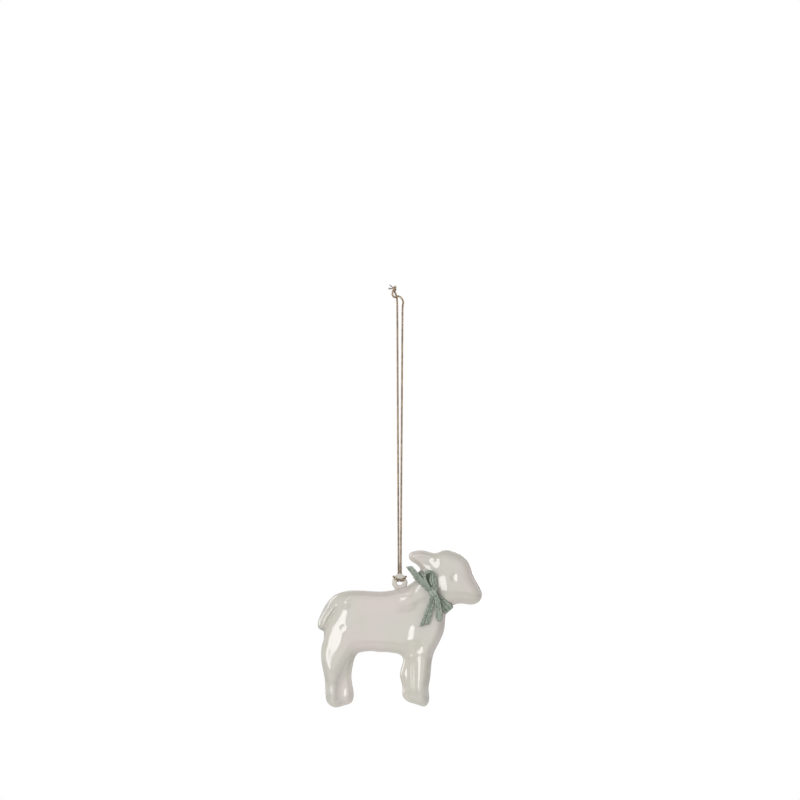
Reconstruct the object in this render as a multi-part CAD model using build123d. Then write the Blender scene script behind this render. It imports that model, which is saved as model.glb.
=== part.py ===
from build123d import *

import os
from math import atan2, cos, degrees, hypot, radians, sin, tan

# Hanging lamb ornament. Two pressed shells meet at an upright seam, a ring is
# seated in that seam at the withers, a ribbon is tied round the neck in a bow,
# and a cord loop is hitched through the ring.
# The origin is the hang point inside the top of the cord loop, +X points to the
# lamb's muzzle, +Y away from the front and +Z up.

# Overall sizes
LAMB_LENGTH = 80.6
LAMB_HEIGHT = 77.1
HANG_DROP = 138.4

# Pressed shells: a rolled rim all round, with trunk, head, ear and the nearer legs
# raised, and a thicker head that balances the lamb under its ring
SHELL_WALL = 0.9
HEAD_WALL = 3.4
RIM_HALF_DEPTH = 3.4
RIM_EDGE_RADIUS = 1.3
EDGE_STEPS = 4
RELIEF_FOOT_INSET = 0.2
RELIEF_FOOT_DEPTH = 1.6
BODY_HALF_DEPTH = 5.7
BODY_TOP_INSET = 3.6
LEG_HALF_DEPTH = 5.9
LEG_TOP_INSET = 2.6
EAR_HALF_DEPTH = 4.6
EAR_TOP_INSET = 1.8
EAR_HOLLOW_LENGTH = 8.6
EAR_HOLLOW_WIDTH = 3.6
EAR_HOLLOW_DEPTH = 0.9
EYE_WIDTH = 3.6
EYE_HEIGHT = 4.4
EYE_RISE = 0.8

# Hanging ring and its foot in the seam
RING_DROP = 0.7
RING_RADIUS = 4.1
RING_HOLE_RADIUS = 1.7
RING_THICKNESS = 1.6
RING_EDGE_RADIUS = 0.5
RING_FOOT_WIDTH = 5.0
RING_FOOT_DEPTH = 2.2
RING_TANG_WIDTH = 3.0
RING_TANG_DEPTH = 3.0
SEAT_CLEARANCE = 0.05

# Ribbon
RIBBON_WIDTH = 4.8
RIBBON_THICKNESS = 0.5
RIBBON_GAP = 0.25
NECK_BAND_CORNER = 3.2
BOW_KNOT_LENGTH = 4.8
BOW_KNOT_WIDTH = 4.2
BOW_KNOT_DEPTH = 4.0
BOW_KNOT_EDGE_RADIUS = 1.2
BOW_LAYER_GAP = 0.3
LOOP_FOLD_DEPTH = 2.2
LOOP_PINCH_RADIUS = 1.0
UPPER_LOOP_LENGTH = 8.0
UPPER_LOOP_RADIUS = 2.9
LOWER_LOOP_LENGTH = 12.2
LOWER_LOOP_RADIUS = 1.8
UPPER_TAIL_LENGTH = 16.6
UPPER_TAIL_WIDTH = 2.7
LOWER_TAIL_LENGTH = 17.4
LOWER_TAIL_WIDTH = 4.2
TAIL_FOLD_THICKNESS = 0.9
UPPER_LOOP_ANGLE = 106.0
LOWER_LOOP_ANGLE = -80.0
UPPER_TAIL_ANGLE = 135.0
LOWER_TAIL_ANGLE = -109.0

# Cord
CORD_DIAMETER = 1.0
CORD_GAP = 0.2
STRAND_SPACING = 1.1
HITCH_RISE = 3.2
KNOT_WIDTH = 2.4
KNOT_TURN_HEIGHT = 1.3
KNOT_TURN_OVERLAP = 0.7
CORD_END_TIP_DIAMETER = 0.4
CORD_END_ROOT_SHARE = 0.7
CORD_RUN_SHARE = 0.45
HITCH_HOLE_SHARE = 0.85
HITCH_SHOULDER_ANGLE = 52.0

# Stretches of the outline in the seam plane as (x, z) from the middle of the
# ring, clockwise from the tail, drawn for a lamb of this length and height
DRAWN_LENGTH = 80.6
DRAWN_HEIGHT = 77.1
TAIL = [
    (-36.5, -25.4), (-38.0, -24.4), (-39.8, -23.2), (-40.1, -20.4), (-38.5, -16.0), (-35.9, -11.2),
    (-32.6, -7.6),
]
BACK = [(-27.1, -5.3), (-18.9, -4.8), (-8.9, -5.3), (-1.4, -4.2), (4.6, -2.0), (8.6, 1.4)]
EAR_EDGE = [
    (10.2, 5.2), (7.4, 8.6), (4.7, 10.8), (4.7, 13.2), (7.2, 14.5), (10.6, 14.9), (14.2, 14.2),
    (17.2, 13.5),
]
FACE = [
    (21.7, 14.9), (26.0, 14.4), (30.4, 12.5), (33.8, 9.4), (35.6, 4.4), (38.2, -0.9), (40.4, -6.0),
    (38.9, -10.2), (35.0, -11.7), (31.0, -11.2),
]
CHEST = [(26.2, -12.0), (23.0, -15.2), (22.3, -19.0), (21.9, -23.5), (19.6, -29.7)]
NEAR_FORE_LEG = [
    (16.6, -35.9), (15.6, -41.0), (14.9, -48.0), (14.2, -53.0), (14.5, -58.0), (12.6, -61.5),
]
FAR_FORE_LEG = [
    (8.2, -60.6), (4.0, -59.2), (1.6, -56.8), (1.3, -52.2), (0.1, -46.0), (1.1, -41.6), (1.5, -37.6),
]
BELLY = [(-0.8, -35.8), (-11.4, -34.8), (-18.0, -34.2)]
FAR_HIND_LEG = [
    (-21.0, -36.2), (-23.0, -41.6), (-23.6, -48.0), (-22.5, -56.0), (-23.8, -59.8), (-27.2, -61.1),
]
NEAR_HIND_LEG = [
    (-31.4, -62.1), (-35.2, -60.0), (-36.4, -55.6), (-36.8, -48.0), (-38.5, -38.5), (-38.6, -35.0),
    (-37.2, -29.0),
]

# Raised areas, clockwise in the same plane: the trunk and head under the ear, the
# hollows behind the trunk and the head, the ear, and the nearer legs of each face
TRUNK_UNDER_TAIL = [(-37.2, -31.0), (-36.0, -22.0), (-34.4, -16.0), (-31.4, -10.4)]
CROWN = [(11.4, 4.6), (15.6, 8.4), (18.2, 12.2)]
NECK_END = [(12.6, 4.4), (17.2, 1.0), (20.6, -5.0), (24.0, -11.4)]
TRUNK_FLOOR = [
    (15.0, -34.4), (5.0, -36.4), (-4.0, -35.6), (-14.0, -34.8), (-24.0, -36.6), (-33.0, -37.2),
]
CHEEK = [(26.2, -11.8), (22.8, -8.0), (20.2, -2.2), (18.4, 4.5), (18.0, 10.4)]
EAR_BASE = [(17.4, 9.6), (15.6, 6.6), (12.2, 5.8)]
NEAR_HIND_RELIEF = [
    (-37.4, -26.0), (-30.0, -17.0), (-20.0, -22.0), (-20.5, -33.0), (-26.5, -42.0), (-29.4, -49.0),
    (-29.0, -56.0), (-29.6, -60.6), (-32.4, -61.9), (-35.2, -60.0), (-36.4, -55.6), (-36.8, -48.0),
    (-38.5, -38.5),
]
NEAR_FORE_RELIEF = [
    (6.0, -22.0), (13.0, -17.5), (20.0, -22.0), (19.8, -29.7), (16.6, -35.9), (15.6, -41.0),
    (14.9, -48.0), (14.2, -53.0), (14.4, -57.6), (12.6, -61.0), (8.8, -60.6), (6.2, -57.0),
    (5.2, -49.0), (5.4, -41.0), (4.4, -32.0),
]
FAR_HIND_RELIEF = [
    (-35.5, -26.0), (-29.0, -17.0), (-19.0, -22.0), (-19.6, -33.0), (-23.0, -41.6), (-23.6, -48.0),
    (-22.7, -55.0), (-23.8, -59.4), (-27.0, -60.6), (-30.2, -58.5), (-31.0, -51.0), (-31.8, -44.0),
    (-35.5, -36.0),
]
FAR_FORE_RELIEF = [
    (4.0, -22.0), (11.0, -17.5), (18.0, -22.0), (15.5, -32.0), (10.8, -40.0), (9.6, -48.0),
    (9.6, -55.0), (7.8, -59.2), (4.2, -58.8), (1.8, -56.4), (1.3, -52.2), (0.1, -46.0), (1.1, -41.6),
    (1.8, -35.0),
]
EYE_PLACE = (27.6, 1.6)
EAR_HOLLOW_PLACE = (11.8, 11.0)
EAR_HOLLOW_TILT = 14.0
NAPE = (8.6, 3.3)
THROAT = (24.3, -14.2)
BOW_PLACE = (16.5, -5.1)

# Cord points in millimetres from the hang point: the strands rise from the
# hitch, cross below the knot and leave it as frayed ends
KNOT_PLACE = (-2.7, 0.0, 4.6)
LEFT_STRAND_TOP = [(-1.2, 0.3, -2.6), (-2.6, 0.75, -0.4), (-3.4, 0.7, 1.6), (-3.0, 0.5, 3.8)]
RIGHT_STRAND_TOP = [
    (1.5, -0.3, -3.6), (0.8, -0.5, -0.6), (-0.7, -0.6, 1.0), (-2.0, -0.55, 2.0), (-2.5, -0.5, 3.9),
]
CORD_END_TIPS = [(-4.9, -0.4, 7.2), (-5.8, 0.5, 5.2), (-2.2, 0.3, 7.0)]

# Places that follow from the sizes
seam_y = -(RING_THICKNESS / 2 + CORD_GAP + CORD_DIAMETER / 2)
lamb_place = Location((0, seam_y, -HANG_DROP))
ring_place = Pos(0, 0, -RING_DROP)
ribbon_face_depth = BODY_HALF_DEPTH + RIBBON_GAP + RIBBON_THICKNESS
strand_foot_z = RING_RADIUS + CORD_GAP + CORD_DIAMETER + HITCH_RISE
drawn_share = min(LAMB_LENGTH / DRAWN_LENGTH, LAMB_HEIGHT / DRAWN_HEIGHT)

silhouette = (
    TAIL + BACK + EAR_EDGE + FACE + CHEST
    + NEAR_FORE_LEG + FAR_FORE_LEG + BELLY + FAR_HIND_LEG + NEAR_HIND_LEG
)
body_relief = TRUNK_UNDER_TAIL + BACK + CROWN + FACE + CHEST + TRUNK_FLOOR
trunk_outline = TRUNK_UNDER_TAIL + BACK + NECK_END + CHEST[1:] + TRUNK_FLOOR
head_outline = FACE + CHEEK
ear_relief = EAR_EDGE[1:-1] + EAR_BASE


def drawn(point):
    """A drawn outline point at the lamb's set length and height."""
    x, z = point
    return x * LAMB_LENGTH / DRAWN_LENGTH, z * LAMB_HEIGHT / DRAWN_HEIGHT


def inset_outline(outline, inset):
    """The clockwise outline's points, each moved inwards along its normal."""
    points = [drawn(point) for point in outline]
    moved = []
    for index, (x, z) in enumerate(points):
        before = points[index - 1]
        after = points[(index + 1) % len(points)]
        run_x = after[0] - before[0]
        run_z = after[1] - before[1]
        length = hypot(run_x, run_z)
        moved.append((x + inset * run_z / length, z - inset * run_x / length))
    return moved


def outline_face(outline, inset, depth):
    """The inset outline as a face in front of the seam plane."""
    points = inset_outline(outline, inset * drawn_share)
    return Plane.XZ.offset(depth) * make_face(Spline(*points, periodic=True))


def raised(outline, foot_inset, low, top_inset, high):
    """A flat-topped form whose sides roll over from its foot in a quarter of an ellipse."""
    sections = []
    for step in range(EDGE_STEPS + 1):
        turn = radians(90 * step / EDGE_STEPS)
        inset = top_inset - (top_inset - foot_inset) * cos(turn)
        sections.append(outline_face(outline, inset, low + (high - low) * sin(turn)))
    return loft(sections, ruled=True)


def cavity(outline, depth):
    """The hollow behind the flat of a relief."""
    mouth = outline_face(outline, BODY_TOP_INSET, 0)
    return extrude(mouth, amount=depth)


def oval_dome(length, width, rise, place, depth, tilt=0.0):
    """An oval boss centred on the face at the given depth."""
    x, z = drawn(place)
    return Pos(x, -depth, z) * Rot(0, tilt, 0) * scale(Sphere(1), by=(length / 2, rise, width / 2))


def half_shell(leg_reliefs):
    """One pressed half in front of the seam plane, with the legs that stand nearer on it."""
    ring_seat = ring_place * ring_blank(SEAT_CLEARANCE)
    edge_depth = RIM_HALF_DEPTH - RIM_EDGE_RADIUS
    rim = extrude(outline_face(silhouette, 0, 0), amount=edge_depth)
    rolled_edge = raised(silhouette, 0, edge_depth, RIM_EDGE_RADIUS, RIM_HALF_DEPTH)
    body = raised(body_relief, RELIEF_FOOT_INSET, RELIEF_FOOT_DEPTH, BODY_TOP_INSET, BODY_HALF_DEPTH)
    eye = oval_dome(EYE_WIDTH, EYE_HEIGHT, EYE_RISE, EYE_PLACE, BODY_HALF_DEPTH)
    legs = [
        raised(outline, RELIEF_FOOT_INSET, RELIEF_FOOT_DEPTH, LEG_TOP_INSET, LEG_HALF_DEPTH)
        for outline in leg_reliefs
    ]
    ear = raised(ear_relief, RELIEF_FOOT_INSET, RELIEF_FOOT_DEPTH, EAR_TOP_INSET, EAR_HALF_DEPTH)
    ear_hollow = oval_dome(
        EAR_HOLLOW_LENGTH, EAR_HOLLOW_WIDTH, EAR_HOLLOW_DEPTH, EAR_HOLLOW_PLACE, EAR_HALF_DEPTH,
        EAR_HOLLOW_TILT,
    )
    trunk_hollow = cavity(trunk_outline, BODY_HALF_DEPTH - SHELL_WALL)
    head_hollow = cavity(head_outline, BODY_HALF_DEPTH - HEAD_WALL)
    solid_half = rim + [rolled_edge, body, eye, ear] + legs
    return solid_half - [ear_hollow, trunk_hollow, head_hollow, ring_seat]


def ring_blank(grow=0.0):
    """The ring's disc, its foot on the back and the tang that the seam holds."""
    disc = extrude(Plane.XZ * Circle(RING_RADIUS + grow), amount=RING_THICKNESS / 2 + grow, both=True)
    foot_top = -RING_HOLE_RADIUS
    foot_bottom = -RING_RADIUS - RING_FOOT_DEPTH
    tang_bottom = foot_bottom - RING_TANG_DEPTH
    foot = Pos(0, 0, (foot_top + foot_bottom) / 2) * Box(
        RING_FOOT_WIDTH + 2 * grow, RING_THICKNESS + 2 * grow, foot_top - foot_bottom + 2 * grow
    )
    tang = Pos(0, 0, (foot_top + tang_bottom) / 2) * Box(
        RING_TANG_WIDTH + 2 * grow, RING_THICKNESS + 2 * grow, foot_top - tang_bottom + 2 * grow
    )
    return disc + foot + tang


def hanging_ring():
    """The blank with its hole and rounded edges."""
    hole = extrude(Plane.XZ * Circle(RING_HOLE_RADIUS), amount=RING_THICKNESS, both=True)
    ring = ring_blank() - hole
    return fillet(ring.edges().filter_by(GeomType.CIRCLE), RING_EDGE_RADIUS)


def neck_ribbon():
    """The ribbon's closed turn round the neck, square to the line from nape to throat."""
    nape_x, nape_z = drawn(NAPE)
    throat_x, throat_z = drawn(THROAT)
    reach = hypot(throat_x - nape_x, throat_z - nape_z) / 2
    slope = degrees(atan2(nape_z - throat_z, throat_x - nape_x))
    inner_length = 2 * (reach + RIBBON_GAP)
    inner_depth = 2 * (BODY_HALF_DEPTH + RIBBON_GAP)
    grow = 2 * RIBBON_THICKNESS
    outer = RectangleRounded(inner_length + grow, inner_depth + grow, NECK_BAND_CORNER + RIBBON_THICKNESS)
    inner = RectangleRounded(inner_length, inner_depth, NECK_BAND_CORNER)
    turn = extrude(outer - inner, amount=RIBBON_WIDTH / 2, both=True)
    return Pos((nape_x + throat_x) / 2, 0, (nape_z + throat_z) / 2) * Rot(0, slope, 0) * turn


def bow_knot():
    """The bow's middle, flat against the neck ribbon."""
    x, z = drawn(BOW_PLACE)
    knot = Box(BOW_KNOT_WIDTH, BOW_KNOT_DEPTH, BOW_KNOT_LENGTH)
    front_edges = knot.edges().filter_by(lambda edge: edge.center().Y < BOW_KNOT_DEPTH / 2)
    return Pos(x, -ribbon_face_depth - BOW_KNOT_DEPTH / 2, z) * fillet(front_edges, BOW_KNOT_EDGE_RADIUS)


def bow_loop(length, radius, angle):
    """A pinched loop of folded ribbon that stands out of the knot at an angle."""
    x, z = drawn(BOW_PLACE)
    outer = make_hull((Circle(LOOP_PINCH_RADIUS) + Pos(length, 0) * Circle(radius)).edges())
    pinch = LOOP_PINCH_RADIUS - RIBBON_THICKNESS
    inner = make_hull((Circle(pinch) + Pos(length, 0) * Circle(radius - RIBBON_THICKNESS)).edges())
    band = extrude(Plane.XZ * Rot(0, 0, angle) * (outer - inner), amount=LOOP_FOLD_DEPTH)
    back = ribbon_face_depth + 2 * BOW_LAYER_GAP + TAIL_FOLD_THICKNESS
    return Pos(x, -back, z) * band - bow_knot()


def ribbon_tail(length, width, angle):
    """A folded ribbon end that lies behind the loops."""
    x, z = drawn(BOW_PLACE)
    strip = Pos(length / 2, 0) * Rectangle(length, width)
    tail = extrude(Plane.XZ * Rot(0, 0, angle) * strip, amount=TAIL_FOLD_THICKNESS)
    return Pos(x, -ribbon_face_depth - BOW_LAYER_GAP, z) * tail - bow_knot()


def cord_radii(points):
    """The largest arc that the two runs at each corner of a route leave room for."""
    radii = []
    for before, corner, after in zip(points, points[1:], points[2:]):
        run_in = Vector(*corner) - Vector(*before)
        run_out = Vector(*after) - Vector(*corner)
        half_turn = radians(run_in.get_angle(run_out)) / 2
        radii.append(CORD_RUN_SHARE * min(run_in.length, run_out.length) / tan(half_turn))
    return radii


def cord_tube(name, points):
    """A round cord along straight runs joined by tangent arcs."""
    radii = cord_radii(points)
    route = FilletPolyline(*points, radius=radii)
    section = Plane(origin=route @ 0, z_dir=route % 0) * Circle(CORD_DIAMETER / 2)
    tube = sweep(section, path=route)
    print(name, "length", round(route.length, 2), "radii", [round(radius, 2) for radius in radii])
    section_volume = section.area * route.length
    print(name, "volume", round(tube.volume, 3), "section times length", round(section_volume, 3))
    return tube


def hitch_points():
    """The hitch from one strand's foot to the other's, from the middle of the ring."""
    half = STRAND_SPACING / 2
    face = RING_THICKNESS / 2 + CORD_GAP + CORD_DIAMETER / 2
    in_hole = (RING_HOLE_RADIUS - CORD_GAP - CORD_DIAMETER / 2) * HITCH_HOLE_SHARE
    reach = RING_RADIUS + CORD_GAP + CORD_DIAMETER / 2
    shoulder_x = reach * sin(radians(HITCH_SHOULDER_ANGLE))
    shoulder_z = reach * cos(radians(HITCH_SHOULDER_ANGLE))
    behind = face + CORD_DIAMETER + 2 * CORD_GAP + CORD_DIAMETER / 2
    rising = [
        (-half, face, strand_foot_z), (-half, face, in_hole), (-half, -face, in_hole),
        (-shoulder_x, -face, shoulder_z), (-shoulder_x, face, shoulder_z),
    ]
    falling = [(-x, y, z) for x, y, z in reversed(rising)]
    return rising + [(0, behind, shoulder_z - CORD_DIAMETER)] + falling


def strand(name, side, top_points):
    """One straight strand from the hitch up to the knot."""
    foot = (side * STRAND_SPACING / 2, 0, strand_foot_z - RING_DROP - HANG_DROP)
    return cord_tube(name, [foot] + top_points) - cord_knot()


def cord_knot():
    """Two snug turns of cord, one above the other."""
    turn = scale(Sphere(1), by=(KNOT_WIDTH / 2, KNOT_WIDTH / 2, KNOT_TURN_HEIGHT * KNOT_TURN_OVERLAP))
    lower = Pos(0, 0, -KNOT_TURN_HEIGHT / 2) * turn
    upper = Pos(0, 0, KNOT_TURN_HEIGHT / 2) * turn
    return Location(KNOT_PLACE) * (lower + upper)


def cord_ends():
    """The frayed ends, each tapering from the knot to its tip."""
    ends = []
    for tip in CORD_END_TIPS:
        run = Vector(*tip) - Vector(*KNOT_PLACE)
        start = Plane(origin=KNOT_PLACE, z_dir=run) * Circle(CORD_DIAMETER * CORD_END_ROOT_SHARE / 2)
        end = Plane(origin=tip, z_dir=run) * Circle(CORD_END_TIP_DIAMETER / 2)
        ends.append(loft([start, end]) - cord_knot())
    return Compound(children=ends)


lamb_pieces = {
    "front_shell": half_shell([NEAR_HIND_RELIEF, NEAR_FORE_RELIEF]),
    "back_shell": mirror(half_shell([FAR_HIND_RELIEF, FAR_FORE_RELIEF]), about=Plane.XZ),
    "hanging_ring": ring_place * hanging_ring(),
    "neck_ribbon": neck_ribbon(),
    "bow_knot": bow_knot(),
    "upper_bow_loop": bow_loop(UPPER_LOOP_LENGTH, UPPER_LOOP_RADIUS, UPPER_LOOP_ANGLE),
    "lower_bow_loop": bow_loop(LOWER_LOOP_LENGTH, LOWER_LOOP_RADIUS, LOWER_LOOP_ANGLE),
    "upper_ribbon_tail": ribbon_tail(UPPER_TAIL_LENGTH, UPPER_TAIL_WIDTH, UPPER_TAIL_ANGLE),
    "lower_ribbon_tail": ribbon_tail(LOWER_TAIL_LENGTH, LOWER_TAIL_WIDTH, LOWER_TAIL_ANGLE),
    "cord_hitch": ring_place * cord_tube("cord_hitch", hitch_points()),
}
pieces = {name: lamb_place * piece for name, piece in lamb_pieces.items()}
pieces["left_cord_strand"] = strand("left_cord_strand", -1, LEFT_STRAND_TOP)
pieces["right_cord_strand"] = strand("right_cord_strand", 1, RIGHT_STRAND_TOP)
pieces["cord_knot"] = cord_knot()
pieces["cord_ends"] = cord_ends()

os.makedirs("parts", exist_ok=True)
for name, piece in pieces.items():
    export_step(piece, f"parts/{name}.step")
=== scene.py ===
"""Looks of the hanging lamb ornament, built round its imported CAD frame."""

from math import cos, pi, radians, sin

import bmesh
import bpy
import numpy as np
from bpy.props import FloatProperty, FloatVectorProperty, IntProperty, PointerProperty
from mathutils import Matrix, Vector
from mathutils.bvhtree import BVHTree


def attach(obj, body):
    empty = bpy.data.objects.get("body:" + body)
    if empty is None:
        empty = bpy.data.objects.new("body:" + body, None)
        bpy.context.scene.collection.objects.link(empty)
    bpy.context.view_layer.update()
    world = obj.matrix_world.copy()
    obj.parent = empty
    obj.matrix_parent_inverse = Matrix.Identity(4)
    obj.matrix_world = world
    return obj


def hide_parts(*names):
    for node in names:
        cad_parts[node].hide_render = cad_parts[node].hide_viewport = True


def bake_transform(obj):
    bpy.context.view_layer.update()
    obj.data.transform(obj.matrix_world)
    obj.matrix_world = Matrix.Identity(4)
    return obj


bl_info = {
    "name": "Hanging lamb ornament",
    "version": (1, 0, 0),
    "blender": (4, 5, 0),
    "location": "View3D > Sidebar > Lamb",
    "description": "Builds the enamel, ribbon, cord and stage of a hanging lamb ornament",
    "category": "Object",
}

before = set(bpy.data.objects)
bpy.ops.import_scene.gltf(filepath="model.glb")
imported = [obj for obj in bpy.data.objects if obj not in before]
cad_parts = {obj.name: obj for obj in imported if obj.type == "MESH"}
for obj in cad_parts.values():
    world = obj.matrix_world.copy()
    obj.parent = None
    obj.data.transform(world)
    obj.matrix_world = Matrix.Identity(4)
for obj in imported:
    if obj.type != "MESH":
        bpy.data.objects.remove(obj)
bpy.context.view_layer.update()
MM = 0.001

# Middle of the hanging ring, from which the lamb's own points are counted in millimetres
RING_MIDDLE = Vector((0.0, -1.5, -138.4))

# The ring in mm as the part has it, and the radii it gets at shares of a half turn from its top
RING_AXIS_Z = -139.1
RING_HOLE = 1.7
RING_REACH = 4.1
HOLE_RADII = ((0.0, 0.4, 0.7, 1.0), (1.5, 1.4, 1.35, 1.5))
EDGE_RADII = ((0.0, 0.12, 0.28, 0.5, 0.8, 1.0), (4.35, 4.15, 3.7, 3.85, 3.95, 4.1))

# Spacing of points in mm on the ring and the bow's knot, and how often they are smoothed
RING_VOXEL = 0.16
RING_PASSES = 5
BOW_KNOT_VOXEL = 0.2
BOW_KNOT_PASSES = 14

# The seam between the shells, and the way each shell faces along Y
SEAM_Y = RING_MIDDLE.y * MM
FRONT = -1
BACK = 1

# Depths of the enamel in mm from the seam: above the first three it is levelled, evened and
# smoothed, over the fade its evening sets in, and at the last one strokes have their full height
LEVELLED_DEPTH = 0.9
EVENED_DEPTH = 2.2
RAISED_DEPTH = 2.4
EVENED_FADE = 1.0
STROKE_DEPTH = 3.0

# How often the raised enamel is smoothed before the strokes, and all of it after them
RAISED_PASSES = 25
LAST_PASSES = 10

# Grid on which the enamel is evened: its cell and spread in mm, and its margin in cells
EVENED_CELL = 0.25
EVENED_SPREAD = 1.0
EVENED_MARGIN = 10

# Cord routes in millimetres from the hang point, as the part has them
STRAND_FOOT_Z = -130.6
LEFT_STRAND = [
    (-0.55, 0.0, STRAND_FOOT_Z), (-0.57, 0.01, -124.0), (-1.14, 0.28, -9.0), (-1.2, 0.3, -2.6),
    (-1.35, 0.4, 0.6), (-2.0, 0.5, 2.4), (-2.75, 0.5, 3.9),
]
RIGHT_STRAND = [
    (0.55, 0.0, STRAND_FOOT_Z), (0.57, -0.01, -124.0), (1.35, -0.28, -9.0), (1.4, -0.3, -3.6),
    (1.9, -0.4, -1.4), (0.6, -0.5, 0.6), (-0.8, -0.65, 1.3), (-2.4, -0.7, 0.3), (-3.9, -0.6, 1.7),
    (-3.3, -0.5, 3.9),
]
HITCH = [
    (-0.55, 0.0, STRAND_FOOT_Z), (-0.55, 0.0, -138.2), (-0.55, -3.0, -138.8), (-2.9, -3.0, -136.5),
    (-3.2, 0.0, -136.4), (0.0, 1.9, -137.15), (3.2, 0.0, -136.4), (2.9, -3.0, -136.5),
    (0.55, -3.0, -138.8), (0.55, 0.0, -138.2), (0.55, 0.0, STRAND_FOOT_Z),
]

# The cord's knot in mm: its middle, and its turns' radius, heights with tilts, and rise
KNOT_PLACE = Vector((-2.7, 0.0, 4.6))
KNOT_RADIUS = 0.72
KNOT_TURNS = ((-0.75, 0.35), (0.0, -0.25), (0.75, 0.3))
KNOT_RISE = 0.1
POINTS_PER_TURN = 12

# Tips of the frayed ends in mm from the hang point, and their fibres
END_TIPS = [(-4.9, -0.4, 7.0), (-5.8, 0.5, 4.8), (-2.2, 0.3, 6.4)]
FIBRES_PER_END = 9
FIBRE_RADIUS = 0.11
FIBRE_SPREAD = 0.16
FRAYED_COLOUR = (150, 144, 140)

# Plies as shares of the cord's diameter, steps to one turn of them, the cord's thickness where it
# is drawn tight as shares of its own, and the share of its colour kept in the hitch, darkened there
# as painted shade
PLY_RADIUS = 0.215
PLY_REACH = 0.285
STEPS_PER_LAY = 14
HITCH_THICKNESS = 1.1
KNOT_THICKNESS = 0.95
HITCH_SHADE_SHARE = 0.55

# Ends of the ribbon's line across the neck in mm from the ring, and the form of its turn
NAPE = (8.6, 3.3)
THROAT = (24.3, -14.2)
NECK_HALF_DEPTH = 6.3
NECK_CLEARANCE = 0.3
NECK_SQUARENESS = 0.45

# The ribbon's width and its distance from strokes in mm, and the columns and groove of its strips
RIBBON_WIDTH = 4.8
RIBBON_CLEARANCE = 3.6
STRIP_COLUMNS = 20
GROOVE_SHARE = 0.22


def srgb(red, green, blue):
    """A screen colour from 0 to 255 as linear light."""
    shares = (part / 255 for part in (red, green, blue))
    return tuple(s / 12.92 if s <= 0.04045 else ((s + 0.055) / 1.055) ** 2.4 for s in shares)


class EnamelLook(bpy.types.PropertyGroup):
    """Colours and gloss of the enamel."""

    colour: FloatVectorProperty(
        name="Pearl", description="Main colour of the enamel", subtype="COLOR",
        default=srgb(203, 198, 187))
    blush: FloatVectorProperty(
        name="Blush", description="Warm cast of the pearl", subtype="COLOR",
        default=srgb(208, 198, 192))
    shade: FloatVectorProperty(
        name="Shade", description="Cool cast of the pearl", subtype="COLOR",
        default=srgb(201, 200, 189))
    # Painted shade: a grey that stands in for the darker rim that light leaves where the enamel
    # turns away
    edge: FloatVectorProperty(
        name="Painted rim shade", description="Grey painted as shade along the rim", subtype="COLOR",
        default=srgb(150, 149, 146))
    roughness: FloatProperty(
        name="Roughness", description="Roughness of the glaze", min=0.0, max=1.0, default=0.19)
    voxel: FloatProperty(
        name="Skin detail", description="Spacing of the skin's points in mm", min=0.1, default=0.26)
    melt: IntProperty(
        name="Melt", description="How often the glaze is levelled", min=0, default=250)


class RibbonLook(bpy.types.PropertyGroup):
    """Colours and weave of the ribbon."""

    colour: FloatVectorProperty(
        name="Thread", description="Light thread of the ribbon", subtype="COLOR",
        default=srgb(178, 186, 174))
    shade: FloatVectorProperty(
        name="Gaps", description="Shade between the threads", subtype="COLOR",
        default=srgb(98, 112, 96))
    thickness: FloatProperty(
        name="Thickness", description="Ribbon thickness in mm", min=0.05, default=0.32)
    rib: FloatProperty(
        name="Rib pitch", description="Spacing of the crosswise ribs in mm", min=0.1, default=0.6)


class CordLook(bpy.types.PropertyGroup):
    """Sizes and colours of the twisted cord."""

    diameter: FloatProperty(
        name="Diameter", description="Diameter of the cord in mm", min=0.1, default=1.0)
    lay: FloatProperty(
        name="Lay", description="Length of one turn of the plies in mm", min=0.5, default=3.0)
    colour: FloatVectorProperty(
        name="Yarn", description="Colour of the plies", subtype="COLOR",
        default=srgb(134, 102, 74))
    fleck: FloatVectorProperty(
        name="Fleck", description="Colour of the bright thread", subtype="COLOR",
        default=srgb(244, 212, 178))


class StageLook(bpy.types.PropertyGroup):
    """Camera and light."""

    lens: FloatProperty(name="Lens", description="Focal length in mm", min=1.0, default=200.0)
    view_width: FloatProperty(
        name="View", description="Width of the view in mm", min=1.0, default=392.6)
    world: FloatProperty(
        name="Room light", description="Strength of the room's light", min=0.0, default=0.41)


class Signal:
    """A shader output that arithmetic can be written with."""

    def __init__(self, finish, socket):
        self.finish = finish
        self.socket = socket

    def math(self, operation, first, second):
        return self.finish.node("ShaderNodeMath", {"operation": operation}, {0: first, 1: second})

    def __add__(self, other):
        return self.math("ADD", self, other)

    def __sub__(self, other):
        return self.math("SUBTRACT", self, other)

    def __rsub__(self, other):
        return self.math("SUBTRACT", other, self)

    def __mul__(self, other):
        return self.math("MULTIPLY", self, other)

    def sine(self):
        return self.math("SINE", self, 0.0)

    def size(self):
        return self.math("ABSOLUTE", self, 0.0)

    def band(self, low, high):
        """The signal from low to high, spread over 0 to 1."""
        return self.finish.node("ShaderNodeMapRange", {"interpolation_type": "SMOOTHSTEP"},
                                {"Value": self, "From Min": low, "From Max": high})


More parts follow.
